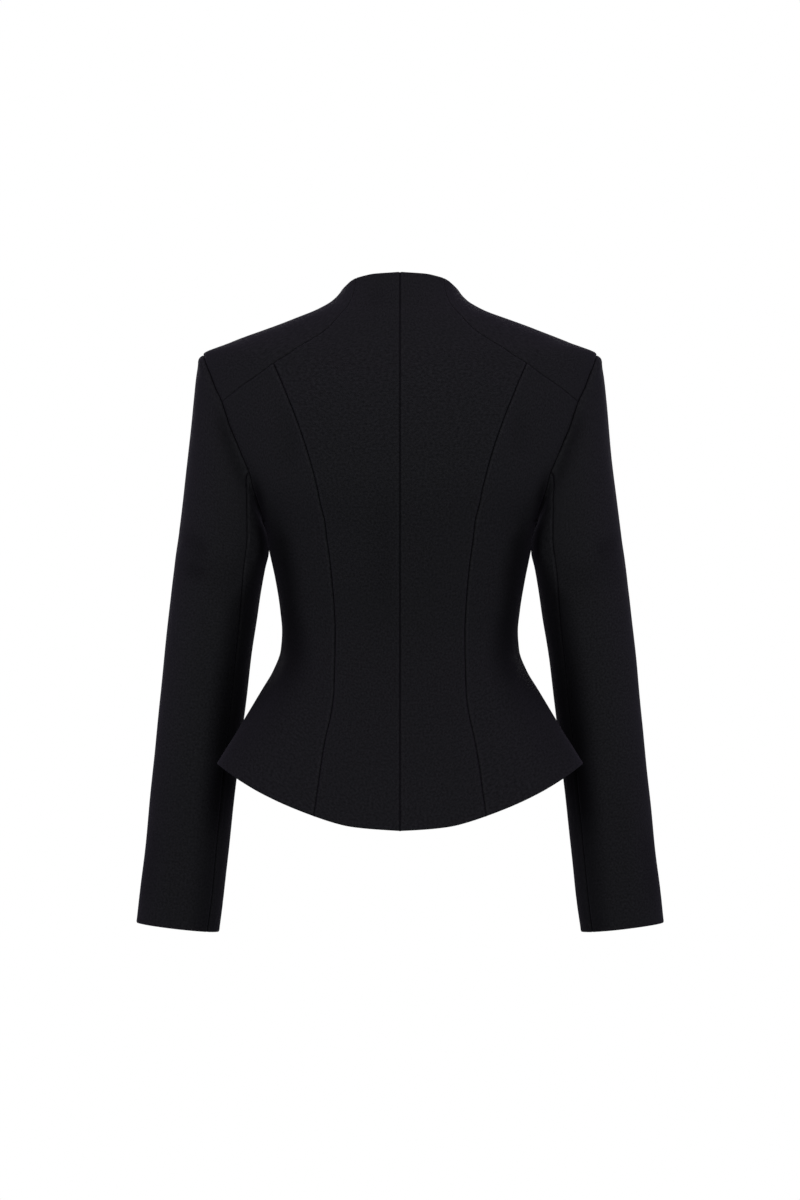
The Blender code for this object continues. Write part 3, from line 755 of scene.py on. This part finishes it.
def front_panel():
    """The wrap front, from its hem up over the shoulder's ridge to the back yoke seam."""
    columns = INNER_YOKE_STEPS + OUTER_YOKE_STEPS
    princess, free = front_princess_places(), wrap_edge_places()
    inner_yoke, outer_yoke = yoke_places()
    hem = hem_places(FRONT_HEM, front_place, FRONT_PRINCESS[0].x, 0, columns)
    ridge = spread(lambda height: (SIDE_TURN, height), ARMHOLE[SHOULDER_TIP].height,
                   RIDGE_HEIGHT, columns)
    neck = [(turn, float(neck_height(turn))) for turn in shares(SIDE_TURN, YOKE_NECK_TURN, YOKE_ROWS)]

    bottom = [edge_run("hem", [princess[0]] + hem[1:-1] + [free[0]])]
    left = [edge_run("seam", princess), armhole_run(PRINCESS_END, SHOULDER_TIP)]
    right = [edge_run("fold", free, WRAP_DENSITY)]
    middle = [edge_run("ridge", ridge)]
    top = [edge_run("yoke", outer_yoke[::-1]), edge_run("yoke", inner_yoke[::-1])]
    top_left, top_right = [armhole_run(SHOULDER_TIP, YOKE_END)], [edge_run("fold", neck)]

    across = fine_steps([bottom, middle, top])
    up, over = fine_steps([left, right], (True, False)), fine_steps([top_left, top_right], (False, True))
    low = fill(bottom, middle, left, right, across, up)
    high = fill(middle, top, top_left, top_right, across, over)
    return torso_panel(np.concatenate([low, high[1:]]), {
        "bottom": kinds_along(bottom, across),
        "top": kinds_along(top, across),
        "left": np.concatenate([kinds_along(left, up), kinds_along(top_left, over)[1:]]),
        "right": np.concatenate([kinds_along(right, up), kinds_along(top_right, over)[1:]]),
    })


def loop_round(values, turn_shift=0.0):
    """Values at the armhole's stations, carried on past its start and end."""
    return np.array([
        values[j % STATIONS] + turn_shift * (j // STATIONS) for j in range(-LOOP_PAD, STATIONS + LOOP_PAD)
    ], float)


def at_station(looped, stations):
    return curve(looped, np.asarray(stations, float) + LOOP_PAD - 1)


def armhole_point(stations):
    return torso_point(at_station(ARMHOLE_LOOP, stations))


def sleeve_axes(row):
    """Centre, unit axes and half length of one sleeve section."""
    outer = np.array([row.outer_x, row.centre_y, row.outer_z], float)
    inner = np.array([row.inner_x, row.centre_y, row.inner_z], float)
    outward = unit(outer - inner)
    away = np.cross(outward, [0.0, 1.0, 0.0])
    return (outer + inner) / 2, outward, away, np.linalg.norm(outer - inner) / 2


def in_hole(stations):
    """Where points of the armhole lie in its own section: outward, in depth and off its plane."""
    offset = armhole_point(stations) - HOLE_CENTRE
    depth = offset[..., 1] / HOLE.half_depth
    return offset @ HOLE_OUTWARD / HOLE_LONG, depth, offset @ HOLE_AWAY


ARMHOLE_LOOP = loop_round(np.array(ARMHOLE, float))
STATION_POINTS = armhole_point(np.arange(STATIONS))
TIP, UNDER = STATION_POINTS[SHOULDER_TIP], STATION_POINTS[UNDERARM]
HOLE_DEPTHS = STATION_POINTS[:, 1].min(), STATION_POINTS[:, 1].max()
HOLE = Sleeve(TIP[0], TIP[2], UNDER[0], UNDER[2], sum(HOLE_DEPTHS) / 2,
              (HOLE_DEPTHS[1] - HOLE_DEPTHS[0]) / 2, SLEEVE[0].back_seam)
HOLE_CENTRE, HOLE_OUTWARD, HOLE_AWAY, HOLE_LONG = sleeve_axes(HOLE)


def station_angles():
    """Each station's angle round the sleeve, from 180 at the underarm through 0 at the tip."""
    outward, depth, _ = in_hole(np.arange(STATIONS))
    angles = np.degrees(np.arctan2(-depth, outward)) % 360
    angles[SHOULDER_TIP], angles[UNDERARM] = 0.0, 180.0
    angles[SHOULDER_TIP + 1:] -= 360
    return angles


ANGLES = station_angles()
ANGLE_LOOP = loop_round(ANGLES, -360.0)[:, None]
SECTIONS = [HOLE] + SLEEVE
LAST_SECTION = len(SECTIONS) - 1
SECTION_LINES = [Track([(k, row[i]) for k, row in enumerate(SECTIONS)]) for i in range(len(HOLE))]
ROUND_SHARE = Track([(k, min(k / CAP_RINGS, 1.0)) for k in range(LAST_SECTION + 1)])


def sleeve_row(section):
    return Sleeve(*(line(section) for line in SECTION_LINES))


def sleeve_point(sections, stations):
    """The sleeve's outer face, a line of stations for each section."""
    outward_share, depth_share, off = in_hole(stations)
    angles = at_station(ANGLE_LOOP, stations)[..., 0] % 360
    back, front = ANGLES[SLEEVE_BACK_SEAM], ANGLES[SLEEVE_FRONT_SEAM] % 360
    lines = []
    for section in sections:
        row = sleeve_row(section)
        centre, outward, away, half_long = sleeve_axes(row)
        share = ROUND_SHARE(section)
        turned = Track([
            (0, 0), (back, row.back_seam), (180, 180), (front, SLEEVE_FRONT_ANGLE), (360, 360),
        ])
        way = np.radians(turned(angles))
        along = outward_share + (np.cos(way) - outward_share) * share
        depth = depth_share + (-np.sin(way) - depth_share) * share
        line = centre + outward * (along * half_long)[:, None] + away * (off * (1 - share))[:, None]
        line[:, 1] += depth * row.half_depth
        lines.append(line)
    return np.array(lines)


def sleeve_normal(sections, stations):
    """The way that the sleeve's outer face looks."""
    upper = np.maximum(sections - SLEEVE_STEP, 0)
    lower = np.minimum(sections + SLEEVE_STEP, LAST_SECTION)
    down = sleeve_point(lower, stations) - sleeve_point(upper, stations)
    around = sleeve_point(sections, stations + SLEEVE_STEP) - sleeve_point(sections, stations - SLEEVE_STEP)
    normals = unit(np.cross(around, down))
    centres = np.array([sleeve_axes(sleeve_row(section))[0] for section in sections])
    outside = dot(normals, sleeve_point(sections, stations) - centres[:, None])
    return np.where(outside > 0, normals, -normals)


def armhole_folds(stations):
    """At stations of the armhole: the way that the fold between torso and sleeve looks, and the ways
    into the cloth on its two sides."""
    places = at_station(ARMHOLE_LOOP, stations)
    point, torso_looks = torso_point(places), torso_normal(places)
    sleeve_looks = sleeve_normal(np.array([0.0]), stations)[0]
    sleeve_way = unit(sleeve_point(np.array([MITRE_STEP]), stations)[0] - point)
    convex = ease(*MITRE_LEAN, dot(torso_looks, sleeve_way))
    fold = unit(torso_looks + sleeve_looks)
    mitre = -fold * SHELL * np.minimum(1 / dot(fold, torso_looks), LONGEST_MITRE)
    inward = [convex * mitre - (1 - convex) * looks * SHELL for looks in (torso_looks, sleeve_looks)]
    return fold, *inward


def sleeve_panel(first, last, cap):
    """The sleeve's cloth between two of its seams, as rows from the armhole down."""
    rough = np.linspace(0, LAST_SECTION, FINE_STEPS + 1)
    run = lengths_along(sleeve_point(rough, np.linspace(first, last, LENGTH_LINES))).mean(axis=1)
    sections = np.interp(close_lines(run[-1]), run, rough)
    rough = np.linspace(first, last, FINE_STEPS + 1)
    run = lengths_along(sleeve_point(WIDTH_SECTIONS, rough).swapaxes(0, 1)).mean(axis=1)
    stations = np.interp(close_lines(run[-1]), run, rough)
    points, normals = sleeve_point(sections, stations), sleeve_normal(sections, stations)
    fold, _, inward = armhole_folds(stations)
    near = np.exp(-lengths_along(points) / MITRE_REACH)
    ways = unit(normals + near[..., None] * (fold - normals[0]))
    inward = -normals * SHELL + near[..., None] * (inward + normals[0] * SHELL)
    edges = {
        "bottom": np.array([cap] * len(stations)),
        "top": np.array(["hem"] * len(stations)),
        "left": np.array(["seam"] * len(sections)),
        "right": np.array(["seam" if cap == "cap" else "lit_seam"] * len(sections)),
    }
    return Panel(points, normals, ways, inward, near, edges)


def from_edge(grid, side):
    """A grid turned so that its lines run from one side's edge inward, and the way back."""
    turns = {
        "left": lambda g: g,
        "right": lambda g: g[:, ::-1],
        "bottom": lambda g: g.swapaxes(0, 1),
        "top": lambda g: g[::-1].swapaxes(0, 1),
    }
    backs = dict(turns, top=lambda g: g.swapaxes(0, 1)[::-1])
    return turns[side](grid), backs[side]


def edge_ways(panel, side):
    """Distance of each point from one edge, square to it, and the way into the piece there."""
    points, back = from_edge(panel.points, side)
    normals = from_edge(panel.normals, side)[0][:, 0]
    along = unit(np.gradient(points[:, 0], axis=0))
    into = unit(points[:, EDGE_SPAN] - points[:, 0])
    square = unit(np.cross(normals, along))
    square *= np.sign(dot(square, into))
    run = lengths_along(points.swapaxes(0, 1)).swapaxes(0, 1) * np.abs(dot(square, into))
    return back(run), square


def with_armhole(panel):
    """A torso panel whose cloth turns to meet the sleeve's at the armhole."""
    loop = np.linspace(0, STATIONS, LOOP_SAMPLES)
    loop_points = armhole_point(loop)
    loop_fold, loop_inward, _ = armhole_folds(loop)
    ways, inward, near_hole = panel.ways.copy(), panel.inward.copy(), panel.near_hole
    for side, kinds in panel.edges.items():
        at_hole = (kinds == "armhole")[:, None]
        if not at_hole.any():
            continue
        edge = from_edge(panel.points, side)[0][:, 0]
        looks = from_edge(panel.normals, side)[0][:, 0]
        nearest = np.array([np.argmin(((loop_points - point) ** 2).sum(axis=1)) for point in edge])
        near, back = from_edge(np.exp(-edge_ways(panel, side)[0] / MITRE_REACH), side)
        near = near * at_hole
        ways += back(near[..., None] * (loop_fold[nearest] - looks)[:, None])
        inward += back(near[..., None] * (loop_inward[nearest] + looks * SHELL)[:, None])
        near_hole = np.maximum(near_hole, back(near))
    return panel._replace(ways=unit(ways), inward=inward, near_hole=near_hole)


def sewn(panel, cap_share=None):
    """What the sewing does to a panel: how far its outer and inner faces move out, and its painted shade
    and highlights.
    """
    slit = np.zeros(panel.points.shape[:2])
    roll, swell, turned_in, painted_light = slit.copy(), slit.copy(), slit.copy(), slit + 1
    for side, kinds in panel.edges.items():
        gap, back = from_edge(edge_ways(panel, side)[0], side)
        for kind in np.unique(kinds):
            sewing = SEWING[kind]
            here = (kinds == kind)[:, None]
            beside = sewing.swell * bell(gap - sewing.swell_at, sewing.swell_width)
            if kind == "cap":
                beside = beside * cap_share[:, None]
            if kind in ("hem", "fold"):
                turned_in = np.maximum(turned_in, back(here * TURN_IN * bell(gap, TURN_REACH)))
            else:
                beside = beside + ALLOWANCE_RISE * ease(*ALLOWANCE, gap)
            if kind == "hem":
                beside = beside - HEM_DIP * bell(gap - HEM_DEPTH, HEM_DIP_WIDTH)
            slit = np.maximum(slit, back(here * sewing.slit * bell(gap, SLIT_WIDTH)))
            roll = np.maximum(roll, back(here * sewing.roll * bell(gap, sewing.roll_width)))
            swell = swell + back(here * beside)
            # Painted shade along the slit or rolled edge, and a painted highlight a little way from it.
            painted_light = painted_light * back(1 - here * sewing.dark * bell(gap, SLIT_SHADE_WIDTH))
            painted_light = painted_light * back(1 + here * sewing.bright * bell(gap - HIGHLIGHT_AT, HIGHLIGHT_WIDTH))
    return swell - roll - slit, turned_in - slit * INNER_SLIT, painted_light


def waved(points):
    """The slow waves of the worn cloth."""
    x, y, z = points[..., 0], points[..., 1], points[..., 2]
    rise = np.zeros(x.shape)
    for wave in WAVES:
        rise += wave.height * np.sin(wave.x * x + wave.y * y + wave.z * z + wave.phase)
    return rise


def creased(points, normals, creases, turned=CREASE_TURN):
    """The rise of soft creases, or of painted shade, the back's and the front's, at points that look far
    enough there.
    """
    x, z = points[..., 0], points[..., 2]
    rise = np.zeros(x.shape)
    for way, rows in zip((-1, 1), creases):
        facing = ease(*turned, way * normals[..., 1])
        for crease in rows:
            run = np.array([crease.to_x - crease.x, crease.to_z - crease.z], float)
            length = np.hypot(*run)
            run /= length
            along = ((x - crease.x) * run[0] + (z - crease.z) * run[1]) / length
            off = (x - crease.x) * -run[1] + (z - crease.z) * run[0]
            off = off - crease.bow * 4 * along * (1 - along)
            width = np.where(off > 0, crease.width, crease.lee)
            fade = ease(*CREASE_START, along) * ease(*CREASE_END, along)
            rise += crease.rise * fade * facing * bell(off, width)
    return rise


def shadowed(points, normals, shadow, line):
    """How much of the colour painted shade takes away beside a sleeve's inner line or the body's side line.
    """
    height = np.clip(points[..., 2], shadow[-1].height, shadow[0].height)
    reach = column(shadow, "reach")(height)
    near = ease(reach, reach * SHADOW_CORE, np.abs(np.abs(points[..., 0]) - line(height)))
    return column(shadow, "depth")(height) * near * ease(*SHADE_TURN, -normals[..., 1])


BODY_LOOK = Look(BODY_CREASES, BODY_SHADES, BODY_SHADOW, half_width, BODY_FALL)
SLEEVE_LOOK = Look(SLEEVE_CREASES, SLEEVE_SHADES, SLEEVE_SHADOW, sleeve_line, SLEEVE_FALL)


def let_out(panel):
    """A panel's points, with its edges moved out to meet the next panels."""
    points = panel.points.copy()
    for edge in panel.edges:
        rim, back = from_edge(np.zeros(points.shape), edge)
        rim[:, 0] = -edge_ways(panel, edge)[1] * SEAM_OVERLAP
        points += back(rim)
    return points


def shell_faces(rows, columns):
    """The faces of a closed shell: a grid of points, another one inside it and walls round the rim."""
    count = rows * columns
    index = np.arange(count).reshape(rows, columns)
    corners_at = [index[:-1, :-1], index[:-1, 1:], index[1:, 1:], index[1:, :-1]]
    quads = np.stack(corners_at, axis=-1).reshape(-1, 4)
    rim = np.concatenate([index[0, :-1], index[:-1, -1], index[-1, :0:-1], index[:0:-1, 0]])
    after = np.roll(rim, -1)
    walls = np.stack([after, rim, rim + count, after + count], axis=-1)
    return np.concatenate([quads, quads[:, ::-1] + count, walls])


def cut_places(points, side):
    """Where the points lie on the flat cloth, in metres, from the panel's own middle lines."""
    rows, columns = points.shape[:2]
    across, up = lengths_along(points[rows // 2]), lengths_along(points[:, columns // 2])
    flat = np.stack(np.meshgrid(across - across[columns // 2], up), axis=-1).reshape(-1, 2) * MM
    return flat if side > 0 else flat + LEFT_CUT_AT


def placed(name, data):
    """A new object in the scene."""
    thing = bpy.data.objects.new(name, data)
    SCENE.collection.objects.link(thing)
    return thing


def shell_object(name, places, faces, flat, painted_light):
    """A piece of cloth from its points, outer ones first, with its flat places and its painted light and
    shade.
    """
    mesh = bpy.data.meshes.new(name)
    mesh.vertices.add(len(places))
    mesh.vertices.foreach_set("co", places.ravel())
    mesh.loops.add(faces.size)
    mesh.loops.foreach_set("vertex_index", faces.ravel())
    mesh.polygons.add(len(faces))
    mesh.polygons.foreach_set("loop_start", np.arange(0, faces.size, 4))
    mesh.polygons.foreach_set("loop_total", np.full(len(faces), 4))
    mesh.update(calc_edges=True)
    mesh.shade_smooth()
    uv_places = np.concatenate([flat, flat])[faces.ravel()]
    mesh.uv_layers.new(name="cut").data.foreach_set("uv", uv_places.ravel())
    painted_lights = np.concatenate([painted_light.ravel(), np.ones(painted_light.size)])
    mesh.attributes.new("painted_light", "FLOAT", "POINT").data.foreach_set("value", painted_lights)
    return placed(name + "_cloth", mesh)


def cloth_piece(name, panel, side, lift=None, cap_share=None):
    """A closed shell of cloth from a panel, on the right (side 1) or mirrored (side -1)."""
    look = SLEEVE_LOOK if "sleeve" in name else BODY_LOOK
    flip = np.array([side, 1.0, 1.0])
    points, normals = let_out(panel), panel.normals * flip
    flipped = points * flip
    seamed, turned_in, painted_light = sewn(panel, cap_share)
    rise = creased(flipped, normals, look.creases) * (1 - panel.near_hole) + waved(flipped)
    if lift is not None:
        rise += lift(points)
    # Painted shade from the shade rows, beside the sleeve's or body's line and lower down, taken off the
    # colour.
    painted_shade = creased(flipped, normals, look.shades, SHADE_TURN)
    painted_shade += shadowed(points, normals, look.shadow, look.line)
    top, bottom, fall = look.fall
    painted_light *= (1 - np.minimum(painted_shade, DARKEST)) * (1 - fall * ease(top, bottom, points[..., 2]))

    outer = points + panel.ways * (rise + seamed)[..., None]
    inner = points + panel.inward + panel.ways * (rise + turned_in)[..., None]
    places = np.concatenate([outer.reshape(-1, 3), inner.reshape(-1, 3)]) * flip * MM
    faces = shell_faces(*points.shape[:2])
    turned = np.cross(points[0, 1] - points[0, 0], points[1, 0] - points[0, 0]) @ panel.normals[0, 0]
    if turned * side < 0:
        faces = faces[:, ::-1]
    return shell_object(name, places, faces, cut_places(points, side), painted_light)


def lap_lift(points):
    """The rise of the right front where it lies over the left one."""
    return LAP_LIFT * ease(*LAP_X, points[..., 0]) * ease(*LAP_HEIGHT, points[..., 2])


def set_inputs(node, values):
    for name, value in values.items():
        node.inputs[name].default_value = value


def crepe():
    """Black crepe: a fine pebbled weave, matte, with a faint purple sheen where it turns away."""
    material = bpy.data.materials.new("black_crepe")
    material.use_nodes = True
    nodes, links = material.node_tree.nodes, material.node_tree.links
    shader = nodes["Principled BSDF"]
    set_inputs(shader, CREPE)
    cut = nodes.new("ShaderNodeUVMap")
    cut.uv_map = "cut"

    def noise(look):
        place, texture = nodes.new("ShaderNodeMapping"), nodes.new("ShaderNodeTexNoise")
        set_inputs(place, {"Scale": (look.scale_x, look.scale_y, 1.0)})
        set_inputs(texture, {"Scale": 1.0, "Detail": look.detail, "Roughness": look.roughness})
        links.new(cut.outputs["UV"], place.inputs["Vector"])
        links.new(place.outputs["Vector"], texture.inputs["Vector"])
        return texture.outputs["Fac"]

    def added(first, second):
        node = nodes.new("ShaderNodeMath")
        node.operation = "ADD"
        links.new(first, node.inputs[0])
        links.new(second, node.inputs[1])
        return node.outputs["Value"]

    yarn, pebble, mottle = noise(YARN), noise(PEBBLE), noise(MOTTLE)
    bump = nodes.new("ShaderNodeBump")
    set_inputs(bump, BUMP)
    links.new(added(yarn, pebble), bump.inputs["Height"])
    links.new(bump.outputs["Normal"], shader.inputs["Normal"])

    mean, ramp = nodes.new("ShaderNodeMath"), nodes.new("ShaderNodeValToRGB")
    mean.operation = "MULTIPLY"
    mean.inputs[1].default_value = 0.5
    for end, (position, colour) in zip(ramp.color_ramp.elements, COLOURS):
        end.position, end.color = position, colour
    links.new(added(yarn, mottle), mean.inputs[0])
    links.new(mean.outputs["Value"], ramp.inputs["Fac"])

    # The colour is scaled by the painted light and shade that each point carries.
    painted_light, painted_colour = nodes.new("ShaderNodeAttribute"), nodes.new("ShaderNodeVectorMath")
    painted_light.attribute_name = "painted_light"
    painted_colour.operation = "SCALE"
    links.new(ramp.outputs["Color"], painted_colour.inputs[0])
    links.new(painted_light.outputs["Fac"], painted_colour.inputs["Scale"])
    links.new(painted_colour.outputs["Vector"], shader.inputs["Base Color"])
    return material


def blazer():
    cloth = crepe()
    panels = {
        "back_centre": back_centre_panel(),
        "back_side": back_side_panel(),
        "front": front_panel(),
        "front_side": front_side_panel(),
        "upper_sleeve": sleeve_panel(SLEEVE_BACK_SEAM, SLEEVE_FRONT_SEAM, "cap"),
        "under_sleeve": sleeve_panel(SLEEVE_FRONT_SEAM, SLEEVE_BACK_SEAM + STATIONS, "armhole"),
    }
    columns = np.linspace(0, 1, panels["upper_sleeve"].points.shape[1])
    cap_share = ease(*CAP_START, columns) * ease(*CAP_END, columns)
    for cut in CUTS:
        for side, hand in ((1, "right_"), (-1, "left_")):
            lift = lap_lift if hand + cut.piece == "right_front" else None
            share = cap_share if cut.piece == "upper_sleeve" else None
            piece = cloth_piece(hand + cut.piece, panels[cut.piece], side, lift, share)
            piece.data.materials.append(cloth)
            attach(piece, "root")
            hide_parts(hand + cut.piece)


def soft_light(name, place, aim, size, power, colour):
    lamp = bpy.data.lights.new(name, "AREA")
    lamp.size = size
    lamp.energy = power
    lamp.color = colour
    light = placed(name, lamp)
    light.location = place
    light.rotation_euler = (Vector(aim) - Vector(place)).to_track_quat("-Z", "Y").to_euler()


def studio():
    """White light from all round, soft lamps, and a plain pale floor."""
    world = bpy.data.worlds.new("studio")
    SCENE.world = world
    world.use_nodes = True
    nodes, links = world.node_tree.nodes, world.node_tree.links
    nodes.clear()
    seen, shining = nodes.new("ShaderNodeBackground"), nodes.new("ShaderNodeBackground")
    set_inputs(seen, {"Color": (*WHITE, 1.0)})
    set_inputs(shining, {"Color": (*WHITE, 1.0), "Strength": AMBIENT})
    path, mix = nodes.new("ShaderNodeLightPath"), nodes.new("ShaderNodeMixShader")
    output = nodes.new("ShaderNodeOutputWorld")
    links.new(path.outputs["Is Camera Ray"], mix.inputs[0])
    links.new(shining.outputs["Background"], mix.inputs[1])
    links.new(seen.outputs["Background"], mix.inputs[2])
    links.new(mix.outputs["Shader"], output.inputs["Surface"])

    for light in LIGHTS:
        soft_light(*light)

    mesh = bpy.data.meshes.new("floor")
    mesh.from_pydata([(x, y, FLOOR_Z) for x, y in FLOOR_CORNERS], [], [(0, 1, 2, 3)])
    paint = bpy.data.materials.new("pale_floor")
    paint.use_nodes = True
    set_inputs(paint.node_tree.nodes["Principled BSDF"], PAINT)
    mesh.materials.append(paint)
    placed("floor", mesh)


def camera():
    lens = bpy.data.cameras.new("camera")
    lens.lens = CAMERA_LENS
    eye = placed("camera", lens)
    eye.location = CAMERA_PLACE
    eye.rotation_euler = (math.radians(90), 0.0, 0.0)
    SCENE.camera = eye


blazer()
studio()
camera()
SCENE.view_settings.view_transform = "Standard"
